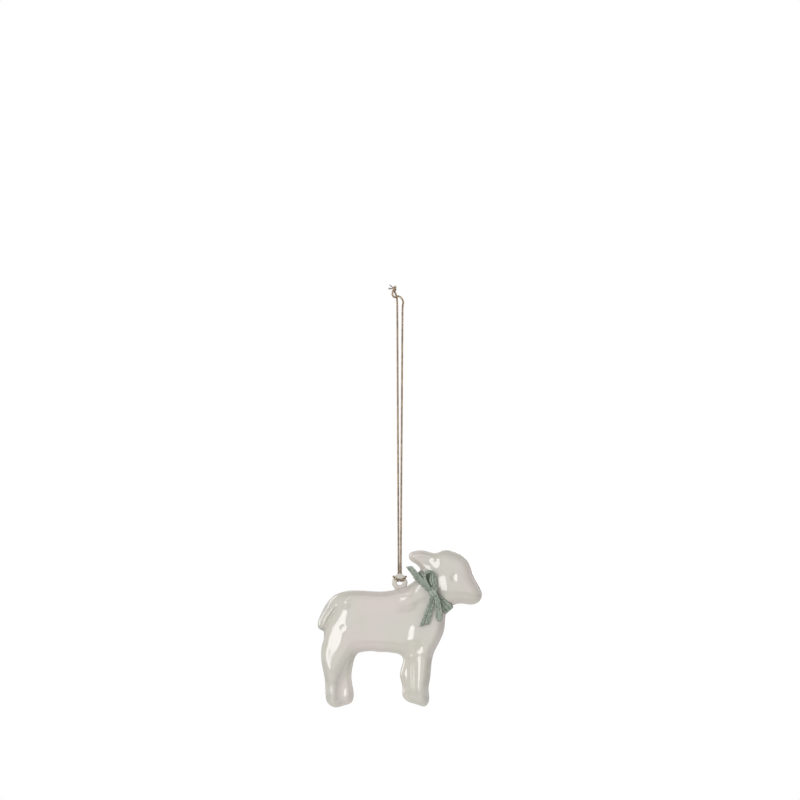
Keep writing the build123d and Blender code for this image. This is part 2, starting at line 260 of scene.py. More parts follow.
class Finish:
    """A material written node by node."""

    def __init__(self, name, **constants):
        self.material = bpy.data.materials.new(name)
        self.material.use_nodes = True
        self.tree = self.material.node_tree
        self.shader = self.tree.nodes["Principled BSDF"]
        for socket, value in constants.items():
            title = socket.replace("_", " ").title().replace("Ior", "IOR")
            self.shader.inputs[title].default_value = value

    def node(self, kind, settings=None, inputs=None, output=0):
        """A new node with its settings, its inputs as values or links, and one output."""
        made = self.tree.nodes.new(kind)
        for key, value in (settings or {}).items():
            setattr(made, key, value)
        for key, value in (inputs or {}).items():
            self.link(value, made.inputs[key])
        return Signal(self, made.outputs[output])

    def link(self, value, socket):
        if isinstance(value, Signal):
            self.tree.links.new(value.socket, socket)
        elif hasattr(value, "__len__"):
            socket.default_value = (*value, 1.0) if socket.type == "RGBA" else value
        else:
            socket.default_value = value

    def mix(self, share, first, second):
        inputs = {0: share, 6: first, 7: second}
        return self.node("ShaderNodeMix", {"data_type": "RGBA"}, inputs, output=2)

    def noise(self, place, scale, detail=2.0):
        inputs = {"Vector": place, "Scale": scale, "Detail": detail}
        return self.node("ShaderNodeTexNoise", {}, inputs)

    def coordinates(self, name):
        return self.node("ShaderNodeTexCoord", output=name)

    def axes(self, place):
        made = self.node("ShaderNodeSeparateXYZ", {}, {0: place}).socket.node
        return [Signal(self, made.outputs[index]) for index in range(3)]

    def bump(self, height, strength, distance):
        inputs = {"Height": height, "Strength": strength, "Distance": distance}
        self.surface("Normal", self.node("ShaderNodeBump", {}, inputs))

    def surface(self, socket, value):
        self.link(value, self.shader.inputs[socket])


def look():
    """The settings of this ornament in the scene."""
    return bpy.context.scene


def new_piece(name, mesh, materials, body, node):
    """A finished mesh as a piece that rides on a body and stands for a node."""
    piece = bpy.data.objects.new(name, mesh)
    bpy.context.scene.collection.objects.link(piece)
    for material in materials:
        mesh.materials.append(material)
    for polygon in mesh.polygons:
        polygon.use_smooth = True
    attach(piece, body)
    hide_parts(node)
    return piece


def mesh_from(bm, name):
    """A bmesh as a mesh, with the bmesh freed."""
    mesh = bpy.data.meshes.new(name)
    bm.to_mesh(mesh)
    bm.free()
    return mesh


def remeshed(node, voxel):
    """A node's solid as an even skin of small quads."""
    blank = bpy.data.objects.new("blank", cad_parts[node].data.copy())
    bpy.context.scene.collection.objects.link(blank)
    bm = bmesh.new()
    bm.from_mesh(blank.data)
    bmesh.ops.remove_doubles(bm, verts=bm.verts, dist=1e-6)
    bm.to_mesh(blank.data)
    bm.free()
    voxels = blank.modifiers.new("Voxels", "REMESH")
    voxels.mode = "VOXEL"
    voxels.voxel_size = voxel
    depsgraph = bpy.context.evaluated_depsgraph_get()
    mesh = bpy.data.meshes.new_from_object(blank.evaluated_get(depsgraph))
    bpy.data.objects.remove(blank)
    bm = bmesh.new()
    bm.from_mesh(mesh)
    return bm


def smooth(bm, verts, times, in_plane=True):
    """Moves points halfway to the middle of their neighbours, or only their depths."""
    for _ in range(times):
        bmesh.ops.smooth_vert(bm, verts=verts, factor=0.5,
                              use_axis_x=in_plane, use_axis_y=True, use_axis_z=in_plane)


# Enamel

def enamel_finish(name, rim_shade_share):
    """Glossy pearl enamel with a faint drift of colour, and grey painted shade along the rim near
    the seam.
    """
    scene = look()
    finish = Finish(name, coat_weight=0.8, coat_roughness=0.06, ior=1.5)
    place = finish.coordinates("Object")
    drift = finish.noise(place, 55.0).band(0.38, 0.64)
    cast = finish.noise(place, 34.0, 1.0).band(0.4, 0.66)
    pearl = finish.mix(drift, scene.enamel.colour, scene.enamel.blush)
    glaze = finish.mix(cast * 0.7, pearl, scene.enamel.shade)
    # Painted shade: the enamel turns grey within 0.6 to 2.6 mm of the seam, where the rim turns
    # away from the light
    depth = (finish.axes(place)[1] - SEAM_Y).size()
    painted_rim_shade = 1.0 - depth.band(0.6 * MM, 2.6 * MM)
    finish.surface("Base Color", finish.mix(painted_rim_shade * rim_shade_share, glaze, scene.enamel.edge))
    grain = finish.noise(place, 240.0) * 0.05
    finish.surface("Roughness", grain + (scene.enamel.roughness - 0.025))
    finish.bump(finish.noise(place, 260.0, 1.0), 0.03, 0.0006)
    return finish.material


def lamb_point(x, z):
    """A point of the lamb's face in metres, from its place in mm from the ring."""
    return (RING_MIDDLE.x + x) * MM, (RING_MIDDLE.z + z) * MM


def stroke(places, facing, route, left, right, amount):
    """Raises or presses the skin along a route, fading out over a width on each side."""
    points = np.array([lamb_point(x, z) for x, z in (route if len(route) > 1 else route * 2)])
    flat = places[:, [0, 2]]
    faded = np.full(len(flat), 100.0)
    for start, end in zip(points, points[1:]):
        run = end - start
        span = np.hypot(*run)
        ahead = run / span if span else np.array([0.0, 1.0])
        away = flat - start
        along = away @ ahead
        past = along - np.clip(along, 0, span)
        across = away @ np.array([-ahead[1], ahead[0]])
        side = np.where(across > 0, left, right) * MM
        faded = np.minimum(faded, (across / side) ** 2 + (past / (min(left, right) * MM)) ** 2)
    depth = np.clip((places[:, 1] - SEAM_Y) * facing / (STROKE_DEPTH * MM), 0, 1)
    places[:, 1] += facing * depth * amount * MM * np.exp(-faded)


def off_ribbon(places):
    """How far each point is free of the ribbon's turn round the neck, from 0 on its line to 1."""
    nape, throat = (np.array(lamb_point(*place)) for place in (NAPE, THROAT))
    run = (throat - nape) / np.linalg.norm(throat - nape)
    away = (places[:, [0, 2]] - nape) @ np.array([-run[1], run[0]])
    return 1 - np.exp(-(away / (RIBBON_CLEARANCE * MM)) ** 2)


# Strokes: a route in mm from the ring, its fades to the left and right of its travel, its height
HAUNCH_STROKES = [
    # Hollow in front of the tail, and the rump's top
    ([(-38.5, -28.0), (-35.4, -19.0), (-33.4, -14.0)], 4.0, 7.0, -1.4),
    ([(-26.3, -10.4)], 2.5, 2.5, 0.85),
    # Thigh, its rounded back edge and a dimple
    ([(-33.0, -44.0), (-30.0, -36.0), (-28.0, -29.5), (-26.5, -24.0), (-25.6, -17.0)],
     4.0, 8.0, 0.6),
    ([(-37.6, -43.0), (-38.0, -36.0), (-37.2, -31.0), (-36.4, -28.0)], 1.5, 2.2, 0.85),
    ([(-28.0, -22.7)], 1.3, 1.3, -0.4),
    # Crease beside the tail, and the tail
    ([(-36.7, -23.5), (-34.5, -18.5), (-31.4, -13.2)], 0.8, 0.8, -1.0),
    ([(-38.2, -22.5), (-36.8, -19.0), (-33.5, -14.6), (-31.6, -12.8)], 1.4, 0.9, 0.9),
]
HEAD_STROKES = [
    # Eye socket, muzzle and cheek
    ([(26.2, 1.0), (26.2, 2.2)], 1.6, 1.6, -0.9),
    ([(34.0, -5.0)], 7.0, 7.0, 0.5),
    ([(22.4, -9.0), (24.4, -4.0), (24.6, -0.5)], 5.0, 8.0, 1.4),
    # Hollow of the ear, root of the ear and nape
    ([(8.2, 11.4), (12.0, 10.9), (14.0, 9.8)], 1.5, 1.5, -0.55),
    ([(18.6, 11.0), (19.2, 13.5)], 2.2, 2.4, 0.8),
    ([(14.6, 5.2)], 2.6, 2.6, 0.5),
]
FRONT_STROKES = HAUNCH_STROKES + HEAD_STROKES + [
    # Hind legs and the fold between them
    ([(-35.3, -58.5), (-35.3, -54.0)], 1.2, 1.2, 0.15),
    ([(-32.8, -58.5), (-32.8, -54.0)], 1.6, 1.6, 0.2),
    ([(-30.4, -58.0), (-30.2, -49.6), (-26.0, -40.4), (-22.4, -35.4)], 0.9, 3.5, -0.45),
    ([(-25.6, -58.0), (-25.0, -53.5)], 2.0, 2.0, 0.65),
    # Forelegs, from left to right
    ([(4.6, -57.0), (4.2, -50.0), (4.0, -46.0), (4.2, -42.0), (4.7, -37.0)], 1.3, 0.8, -0.2),
    ([(5.5, -57.0), (5.2, -50.0), (5.1, -46.0), (5.1, -42.0), (5.2, -37.0)], 0.8, 1.1, 0.6),
    ([(7.5, -57.0), (7.2, -47.0), (7.2, -37.0)], 0.8, 1.2, -0.3),
    ([(9.4, -57.0), (10.2, -52.0), (11.0, -47.0), (12.0, -40.0), (12.3, -36.0)], 2.8, 2.6, 0.5),
    # Chest, elbow, shoulder and base of the neck
    ([(6.8, -28.5), (7.8, -23.5)], 2.2, 4.0, 0.8),
    ([(12.0, -34.5), (12.4, -31.0)], 1.6, 3.0, 0.4),
    ([(5.2, -10.4), (4.6, -9.0)], 5.5, 2.6, 0.8),
    ([(11.2, -7.2), (10.8, -6.0)], 4.0, 2.0, 0.6),
]
# The back is modelled more softly, with one ridge along the forelegs
BACK_SHARE = 0.5
BACK_STROKES = [
    (route, left, right, height * BACK_SHARE)
    for route, left, right, height in HAUNCH_STROKES + HEAD_STROKES
]
BACK_STROKES.append(([(7.0, -57.0), (7.0, -48.0), (10.6, -36.0)], 2.4, 2.4, 0.4))


def evened(places, facing):
    """Depths of the skin averaged over a grid, apart from its rounded rim."""
    cell = EVENED_CELL * MM
    flat = places[:, [0, 2]]
    low = flat.min(axis=0) - EVENED_MARGIN * cell
    spots = (flat - low) / cell
    nearest = tuple(np.round(spots).astype(int).T)
    shape = np.ceil(spots.max(axis=0)).astype(int) + EVENED_MARGIN
    total, count = np.zeros(shape), np.zeros(shape)
    np.add.at(total, nearest, places[:, 1])
    np.add.at(count, nearest, 1.0)
    cells = np.arange(1 - EVENED_MARGIN, EVENED_MARGIN)
    fade = np.exp(-(cells * cell / (EVENED_SPREAD * MM)) ** 2)
    for axis in (0, 1):
        total = np.apply_along_axis(np.convolve, axis, total, fade, mode="same")
        count = np.apply_along_axis(np.convolve, axis, count, fade, mode="same")
    mean = total / np.maximum(count, 1e-12)
    corner = np.floor(spots).astype(int)
    right, up = (spots - corner).T
    column, row = corner.T
    lower = mean[column, row] * (1 - right) + mean[column + 1, row] * right
    upper = mean[column, row + 1] * (1 - right) + mean[column + 1, row + 1] * right
    level = lower * (1 - up) + upper * up
    depth = (places[:, 1] - SEAM_Y) * facing / MM
    share = np.clip((depth - EVENED_DEPTH) / EVENED_FADE, 0, 1)
    return places[:, 1] + (level - places[:, 1]) * share


def outer_skin(node, facing, voxel):
    """The outside of one shell, open at the seam."""
    bm = remeshed(node, voxel)
    ahead = Vector((0, facing, 0))
    tree = BVHTree.FromBMesh(bm)
    hidden = set()
    for vert in bm.verts:
        start = vert.co + vert.normal * voxel * 0.5 + ahead * voxel * 0.5
        if tree.ray_cast(start, ahead)[0] is not None:
            hidden.add(vert)
    inner = [face for face in bm.faces if all(vert in hidden for vert in face.verts)]
    bmesh.ops.delete(bm, geom=inner, context="FACES")
    for vert in bm.verts:
        if vert.is_boundary:
            vert.co.y = SEAM_Y
    smooth(bm, [vert for vert in bm.verts if not vert.is_boundary], 1)
    return bm


def enamel_skin(node, facing, strokes):
    """One shell's skin, levelled as glaze levels, modelled by strokes and closed at the seam."""
    scene = look()
    bm = outer_skin(node, facing, scene.enamel.voxel * MM)
    loose = [v for v in bm.verts if (v.co.y - SEAM_Y) * facing > LEVELLED_DEPTH * MM]
    raised = [v for v in bm.verts if (v.co.y - SEAM_Y) * facing > RAISED_DEPTH * MM]
    smooth(bm, raised, RAISED_PASSES)
    smooth(bm, loose, scene.enamel.melt, in_plane=False)
    places = np.array([vert.co for vert in bm.verts])
    places[:, 1] = evened(places, facing)
    level = places[:, 1].copy()
    for route, left, right, amount in strokes:
        stroke(places, facing, route, left, right, amount)
    places[:, 1] = level + (places[:, 1] - level) * off_ribbon(places)
    for vert, place in zip(bm.verts, places):
        vert.co = place
    smooth(bm, loose, LAST_PASSES)
    rim = [edge for edge in bm.edges if edge.is_boundary]
    for edge in rim:
        edge.smooth = False
    bmesh.ops.holes_fill(bm, edges=rim, sides=0)
    bmesh.ops.triangulate(bm, faces=[face for face in bm.faces if len(face.verts) > 4])
    bmesh.ops.recalc_face_normals(bm, faces=bm.faces)
    return mesh_from(bm, node)


class LAMB_OT_shells(bpy.types.Operator):
    """Builds the enamelled front and back of the lamb"""

    bl_idname = "lamb.shells"
    bl_label = "Enamelled shells"

    def execute(self, context):
        enamel = [enamel_finish("pearl_enamel", 0.8)]
        front = enamel_skin("front_shell", FRONT, FRONT_STROKES)
        new_piece("enamel_front", front, enamel, "lamb", "front_shell")
        back = enamel_skin("back_shell", BACK, BACK_STROKES)
        new_piece("enamel_back", back, enamel, "lamb", "back_shell")
        return {"FINISHED"}


class LAMB_OT_ring(bpy.types.Operator):
    """Builds the enamelled hanging ring"""

    bl_idname = "lamb.ring"
    bl_label = "Hanging ring"

    def execute(self, context):
        bm = remeshed("hanging_ring", RING_VOXEL * MM)
        for vert in bm.verts:
            across = Vector((vert.co.x, vert.co.z)) / MM - Vector((0.0, RING_AXIS_Z))
            reach = across.length
            if reach < RING_REACH:
                side = abs(across.angle_signed(Vector((0, 1)))) / pi
                hole = np.interp(side, *HOLE_RADII)
                edge = np.interp(side, *EDGE_RADII)
                share = (reach - RING_HOLE) / (RING_REACH - RING_HOLE)
                new = hole + share * (edge - hole)
                vert.co.x *= new / reach
                vert.co.z = (RING_AXIS_Z + across.y * new / reach) * MM
        smooth(bm, bm.verts, RING_PASSES)
        ring = mesh_from(bm, "ring")
        # The ring gets no painted rim shade
        enamel = [enamel_finish("ring_enamel", 0.0)]
        new_piece("enamel_ring", ring, enamel, "lamb", "hanging_ring")
        return {"FINISHED"}


# Cord

def yarn_finish(name, colour, shine):
    """Matt twisted yarn with fine fibres."""
    finish = Finish(name, sheen_weight=0.3, specular_ior_level=shine)
    place = finish.coordinates("Object")
    fibre = finish.noise(place, 2600.0, 2.0)
    patches = finish.noise(place, 520.0, 1.0).band(0.36, 0.62)
    gap, dull, bright = (
        tuple(min(1.0, part * share) for part in colour) for share in (0.45, 0.5, 1.25))
    worn = finish.mix(patches, dull, bright)
    tone = finish.mix(fibre.band(0.3, 0.7), gap, worn)
    finish.surface("Base Color", tone)
    finish.surface("Roughness", 0.9 - fibre * 0.4)
    finish.bump(fibre, 0.5, 0.0001)
    return finish.material


def route_points(name, route):
    """Points along the smooth line of a route in metres."""
    line = bpy.data.curves.new(name, "CURVE")
    line.dimensions = "3D"
    line.resolution_u = 24
    spline = line.splines.new("NURBS")
    spline.points.add(len(route) - 1)
    for point, place in zip(spline.points, route):
        point.co = (*(Vector(place) * MM), 1.0)
    spline.order_u = 3
    spline.use_endpoint_u = True
    holder = bpy.data.objects.new(name, line)
    mesh = bpy.data.meshes.new_from_object(holder)
    points = [vert.co.copy() for vert in mesh.vertices]
    bpy.data.objects.remove(holder)
    bpy.data.meshes.remove(mesh)
    return points


def even_points(points, step):
    """The same line at even steps."""
    line = np.array(points)
    along = np.concatenate([[0], np.cumsum(np.linalg.norm(np.diff(line, axis=0), axis=1))])
    marks = np.linspace(0, along[-1], max(4, int(along[-1] / step)))
    return np.stack([np.interp(marks, along, line[:, axis]) for axis in range(3)], axis=1), marks


def wound_line(points, radius, lay, turn):
    """A line that winds round another at a radius, one turn to a lay."""
    line, marks = even_points(points, lay / STEPS_PER_LAY)
    ahead = np.gradient(line, axis=0)
    ahead /= np.linalg.norm(ahead, axis=1)[:, None]
    side = np.zeros_like(line)
    crosswise = (0.0, 1.0, 0.0) if abs(ahead[0][1]) < 0.9 else (1.0, 0.0, 0.0)
    side[0] = np.cross(ahead[0], crosswise)
    for index in range(1, len(line)):
        side[index] = side[index - 1] - ahead[index] * (side[index - 1] @ ahead[index])
    side /= np.linalg.norm(side, axis=1)[:, None]
    other = np.cross(ahead, side)
    angle = (marks / lay * 2 * pi + turn)[:, None]
    return line + radius * (np.cos(angle) * side + np.sin(angle) * other)


def tube(points, radius, tip=1.0):
    """A round thread along points, as a mesh, tapering to a share of its radius."""
    line = bpy.data.curves.new("thread", "CURVE")
    line.dimensions = "3D"
    line.bevel_depth = radius
    line.bevel_resolution = 1
    line.use_fill_caps = True
    spline = line.splines.new("POLY")
    spline.points.add(len(points) - 1)
    for index, (point, place) in enumerate(zip(spline.points, points)):
        point.co = (*place, 1.0)
        point.radius = 1 + (tip - 1) * index / (len(points) - 1)
    holder = bpy.data.objects.new("thread", line)
    mesh = bpy.data.meshes.new_from_object(holder)
    bpy.data.objects.remove(holder)
    return mesh


def joined(name, meshes):
    """Several meshes as one, each in its own material slot."""
    bm = bmesh.new()
    for slot_index, mesh in meshes:
        start = len(bm.faces)
        bm.from_mesh(mesh)
        bm.faces.ensure_lookup_table()
        for face in bm.faces[start:]:
            face.material_index = slot_index
        bpy.data.meshes.remove(mesh)
    return mesh_from(bm, name)


def yarns(*names):
    """Yarn materials by their names."""
    return [bpy.data.materials[name] for name in names]


def twisted_cord(name, points, diameter, dark, body, node):
    """Two dark plies and two bright ones wound along a line."""
    ply = diameter * PLY_RADIUS
    reach = diameter * PLY_REACH
    lay = look().cord.lay * MM
    threads = [
        (turn % 2, tube(wound_line(points, reach, lay, turn * pi / 2), ply)) for turn in range(4)]
    materials = yarns(dark, "cord_bright_thread")
    return new_piece(name, joined(name, threads), materials, body, node)


def knot_route():
    """Three tilted turns of cord round the knot's middle."""
    turns = []
    for level, tilt in KNOT_TURNS:
        for angle in np.linspace(0, 2 * pi, POINTS_PER_TURN + 1)[:-1]:
            height = level + tilt * cos(angle) + KNOT_RISE * angle / pi
            place = Vector((KNOT_RADIUS * cos(angle), KNOT_RADIUS * sin(angle), height))
            turns.append(KNOT_PLACE + place)
    return turns


def frayed_fibres():
    """Loose fibres that run from the knot to the cord's tips."""
    threads = []
    rng = np.random.default_rng(7)
    for tip in END_TIPS:
        run = Vector(tip) - KNOT_PLACE
        for fibre in range(FIBRES_PER_END):
            spread = Vector(rng.normal(0, FIBRE_SPREAD, 3))
            end = KNOT_PLACE + run * rng.uniform(0.82, 1.0) + spread * 1.6
            bend = KNOT_PLACE + run * 0.55 + spread + Vector((0, 0, 0.25))
            line = route_points("end", [KNOT_PLACE + run * 0.15, bend, end])
            threads.append((int(fibre % 3 == 0), tube(line, FIBRE_RADIUS * MM, tip=0.5)))
    return joined("frayed_ends", threads)


class LAMB_OT_cord(bpy.types.Operator):
    """Builds the cord loop, its hitch, its knot and its frayed ends"""

    bl_idname = "lamb.cord"
    bl_label = "Cord loop"

    def execute(self, context):
        scene = look()
        yarn_finish("cord_yarn", tuple(scene.cord.colour), 0.3)
        yarn_finish("cord_bright_thread", tuple(scene.cord.fleck), 0.6)
        yarn_finish("frayed_yarn", srgb(*FRAYED_COLOUR), 0.3)
        # Painted shade: the hitch's yarn is darkened to stand in for the shade under the ring
        hitch_shade_colour = tuple(part * HITCH_SHADE_SHARE for part in scene.cord.colour)
        yarn_finish("hitch_painted_shade_yarn", hitch_shade_colour, 0.3)
        diameter = scene.cord.diameter * MM
        hitch = twisted_cord(
            "hitch_turns", route_points("hitch", HITCH), diameter * HITCH_THICKNESS,
            "hitch_painted_shade_yarn", "hitch", "cord_hitch")
        knot = twisted_cord(
            "knot_turns", route_points("knot", knot_route()), diameter * KNOT_THICKNESS,
            "cord_yarn", "cord", "cord_knot")
        ends = new_piece("frayed_ends", frayed_fibres(), yarns("frayed_yarn", "cord_yarn"),
                         "cord", "cord_ends")
        for name, route, node, on_it in (
            ("left_strand", LEFT_STRAND, "left_cord_strand", [hitch, knot, ends]),
            ("right_strand", RIGHT_STRAND, "right_cord_strand", []),
        ):
            points = route_points(name, route)
            strand = twisted_cord(name, points, diameter, "cord_yarn", "cord", node)
            strand.parent = None
            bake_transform(strand)
        return {"FINISHED"}


# Ribbon

def ribbon_finish():
    """Ribbed woven ribbon, its weave counted along and across the strip."""
    scene = look()
    finish = Finish("woven_ribbon", sheen_weight=0.25, sheen_roughness=0.4,
                    specular_ior_level=0.25)
    across, along, _ = finish.axes(finish.coordinates("UV"))
    ribs = (along * (2 * pi / (scene.ribbon.rib * MM))).sine() * 0.5 + 0.5
    lines = (across * (2 * pi * 2.5)).sine() * 0.5 + 0.5
    place = finish.coordinates("Object")
    fibre = finish.noise(place, 1700.0, 3.0)
    slubs = finish.noise(place, 900.0, 1.0).band(0.36, 0.56)
    weave = (ribs * 0.3 + lines * 0.25 + fibre * 0.5) * (slubs * 0.45 + 0.65)
    tone = finish.mix(weave.band(0.12, 0.78), scene.ribbon.shade, scene.ribbon.colour)
    finish.surface("Base Color", tone)
    finish.surface("Roughness", 0.95 - weave * 0.25)
    finish.bump(weave, 0.7, 0.00025)
    return finish.material


def smooth_row(rows, count):
    """Rows of numbers spread evenly over a smooth line through them."""
    rows = np.array(rows, float)
    marks = np.linspace(0, len(rows) - 1, count)
    padded = np.vstack([2 * rows[0] - rows[1], rows, 2 * rows[-1] - rows[-2]])
    base = np.minimum(marks.astype(int), len(rows) - 2)
    t = (marks - base)[:, None]
    p0, p1, p2, p3 = (padded[base + k] for k in range(4))
    return 0.5 * (2 * p1 + (p2 - p0) * t + (2 * p0 - 5 * p1 + 4 * p2 - p3) * t**2
                  + (3 * p1 - p0 - 3 * p2 + p3) * t**3)


def ribbon_strip(name, stations, node, crown=0.0, groove=0.0, fray=0.0, count=70):
    """A strip through stations of middle and half width, crowned or grooved along its length."""
    scene = look()
    rows = smooth_row([(*middle, *half) for middle, half in stations], count) * MM
    bm = bmesh.new()
    bmesh.ops.create_grid(bm, x_segments=STRIP_COLUMNS, y_segments=count - 1, size=0.5)
    uv = bm.loops.layers.uv.new("weave")
    middle = rows[:, :3] + np.array(RING_MIDDLE) * MM
    half = rows[:, 3:]
    along = np.concatenate([[0], np.cumsum(np.linalg.norm(np.diff(middle, axis=0), axis=1))])
    ahead = np.gradient(middle, axis=0)
    face = np.cross(ahead, half)
    face /= np.linalg.norm(face, axis=1)[:, None]
    rng = np.random.default_rng(3)
    ragged = rng.uniform(-1, 1, STRIP_COLUMNS + 1)
    where = {}
    for vert in bm.verts:
        step = round((vert.co.y + 0.5) * (count - 1))
        column = round((vert.co.x + 0.5) * STRIP_COLUMNS)
        share = 2 * column / STRIP_COLUMNS - 1
        height = crown * (1 - share**2) - groove * np.exp(-(share / GROOVE_SHARE) ** 2)
        place = middle[step] + half[step] * share + face[step] * height * MM
        if fray and step == count - 1:
            onward = ahead[step] / np.linalg.norm(ahead[step])
            place = place + onward * fray * MM * ragged[column]
        where[vert] = (share * 0.5 + 0.5, along[step])
        vert.co = place
    for bm_face in bm.faces:
        for loop in bm_face.loops:
            loop[uv].uv = where[loop.vert]
    bmesh.ops.solidify(bm, geom=bm.faces, thickness=scene.ribbon.thickness * MM)
    bmesh.ops.recalc_face_normals(bm, faces=bm.faces)
    woven = [bpy.data.materials["woven_ribbon"]]
    return new_piece(name, mesh_from(bm, name), woven, "lamb", node)


# Strips of the bow: the node each stands for, its form, and its middles, in mm from the ring, with
# its half widths
BOW = {
    "upper_tail": ("upper_ribbon_tail", {"crown": 0.25}, [
        ((15.4, -7.8, -5.0), (0.85, 0.1, 0.75)), ((12.0, -7.5, -1.3), (0.95, 0.1, 0.9)),
        ((8.2, -7.4, 2.9), (1.1, 0.15, 0.95)), ((4.6, -7.4, 7.3), (1.45, 0.1, 0.15)),
    ]),
    "lower_tail": ("lower_ribbon_tail", {"crown": 0.35, "fray": 0.8}, [
        ((16.0, -7.9, -6.4), (0.8, 0.2, 0.2)), ((15.1, -8.1, -9.8), (1.0, 0.3, 0.3)),
        ((12.9, -8.1, -15.6), (1.0, 0.4, 0.35)), ((10.9, -7.7, -21.4), (1.15, 0.3, 0.35)),
    ]),
    "lower_tail_fold": ("lower_ribbon_tail", {"crown": 0.3, "fray": 0.5}, [
        ((16.8, -7.5, -6.4), (0.8, 0.2, 0.2)), ((16.5, -7.4, -9.8), (0.8, 0.1, 0.2)),
        ((15.0, -7.3, -15.4), (1.0, 0.1, 0.3)), ((13.5, -7.1, -20.8), (1.1, 0.1, 0.2)),
    ]),
    "upper_loop": ("upper_bow_loop", {"groove": 0.3, "count": 120}, [
        ((15.7, -9.2, -4.6), (0.5, -1.0, 0.2)), ((13.3, -9.4, -0.7), (0.5, -1.3, 0.25)),
        ((12.1, -9.5, 2.4), (0.55, -1.4, 0.1)), ((12.7, -9.5, 4.3), (0.4, -1.4, -0.4)),
        ((14.4, -9.5, 5.0), (0.0, -1.3, -0.65)), ((16.0, -9.4, 3.6), (-1.2, -1.1, -0.6)),
        ((16.2, -9.3, 0.8), (-1.75, -0.9, -0.3)), ((16.9, -9.1, -2.4), (-1.25, -0.8, -0.1)),
        ((17.0, -9.0, -4.8), (-0.8, -0.8, 0.0)),
    ]),
    "upper_loop_inside": ("upper_bow_loop", {"crown": 0.1}, [
        ((15.9, -8.0, -4.4), (0.6, 0.0, 0.3)), ((14.6, -7.9, -0.5), (1.1, 0.0, 0.4)),
        ((13.9, -7.9, 2.2), (1.4, 0.0, 0.3)), ((14.2, -8.0, 4.2), (1.2, 0.0, 0.1)),
    ]),
    "lower_loop": ("lower_bow_loop", {"crown": 0.3, "groove": 0.35, "count": 120}, [
        ((17.4, -9.6, -6.0), (0.85, -0.4, 0.2)), ((18.5, -10.2, -10.0), (1.15, -0.4, 0.3)),
        ((19.0, -10.3, -14.5), (1.6, -0.4, 0.2)), ((19.2, -10.1, -17.4), (1.5, -0.4, 0.1)),
        ((19.3, -9.6, -19.0), (0.95, -0.3, 0.1)), ((19.4, -8.9, -19.1), (0.9, -0.3, 0.1)),
        ((19.5, -8.3, -17.4), (1.4, -0.4, 0.2)), ((19.4, -8.0, -12.0), (1.2, -0.4, 0.4)),
        ((18.0, -8.2, -6.0), (0.85, -0.4, 0.3)),
    ]),
}


def squared(value):
    """A sine or cosine drawn out towards the corners of a rounded square."""
    return abs(value) ** NECK_SQUARENESS * (1 if value > 0 else -1)


def neck_turn():
    """Stations of the ribbon round the neck, gathered under the bow."""
    nape = Vector((NAPE[0], 0.0, NAPE[1]))
    throat = Vector((THROAT[0], 0.0, THROAT[1]))
    middle = (nape + throat) / 2
    slope = (throat - nape).normalized()
    half_width = Vector((-slope.z, 0.0, slope.x)) * (RIBBON_WIDTH / 2)
    reach = (throat - nape).length / 2 + NECK_CLEARANCE
    stations = []
    for angle in np.linspace(0, 2 * pi, 33):
        lift, deep = squared(cos(angle)), squared(sin(angle))
        gather = 1.0 if deep > 0 else min(1.0, 0.45 + 0.75 * abs(lift))
        place = middle + slope * reach * lift + Vector((0, NECK_HALF_DEPTH * deep, 0))
        stations.append((place, half_width * gather))
    return stations


def knot_wrap():
    """The bow's knot, softened, with its weave running slantwise."""
    bm = remeshed("bow_knot", BOW_KNOT_VOXEL * MM)
    smooth(bm, bm.verts, BOW_KNOT_PASSES)
    uv = bm.loops.layers.uv.new("weave")
    for face in bm.faces:
        for loop in face.loops:
            place = loop.vert.co
            loop[uv].uv = ((place.z * 0.6 + place.x * 0.8) / (RIBBON_WIDTH * MM), place.z)
    return mesh_from(bm, "knot_wrap")


class LAMB_OT_ribbon(bpy.types.Operator):
    """Builds the ribbon round the neck and its bow"""

    bl_idname = "lamb.ribbon"
    bl_label = "Ribbon bow"

    def execute(self, context):
        woven = [ribbon_finish()]
        ribbon_strip("neck_band", neck_turn(), "neck_ribbon", count=160)
        for name, (node, form, stations) in BOW.items():
            ribbon_strip(name, stations, node, **form)
        new_piece("knot_wrap", knot_wrap(), woven, "lamb", "bow_knot")
        return {"FINISHED"}


# Stage

# Lamps: place, width and height in metres, and radiance
LAMPS = {
    "left_softbox": ((-0.64, -1.13, 0.12), (0.52, 0.92), 4.7),
    "top_softbox": ((-0.15, -0.8, 0.75), (0.5, 0.2), 2.0),
    "front_fill": ((0.3, -1.6, 0.1), (1.2, 1.2), 0.5),
    "back_softbox": ((0.9, 1.3, 0.5), (1.2, 1.2), 4.0),
}
LAMP_TARGET = Vector((0.0, 0.0, -0.16))

# Floor and camera in metres
FLOOR_Z = -0.62
FLOOR_SIZE = 3.0
CAMERA_X = 0.00015
CAMERA_Z = -0.0498


def softbox(name, place, size, radiance):
    """A rectangular lamp of even radiance, turned to the lamb."""
    lamp = bpy.data.lights.new(name, "AREA")
    lamp.shape = "RECTANGLE"
    lamp.size, lamp.size_y = size
    lamp.energy = radiance * pi * size[0] * size[1]
    holder = bpy.data.objects.new(name, lamp)
    holder.visible_camera = False
    holder.location = place
    holder.rotation_euler = (LAMP_TARGET - Vector(place)).to_track_quat("-Z", "Y").to_euler()
    bpy.context.scene.collection.objects.link(holder)


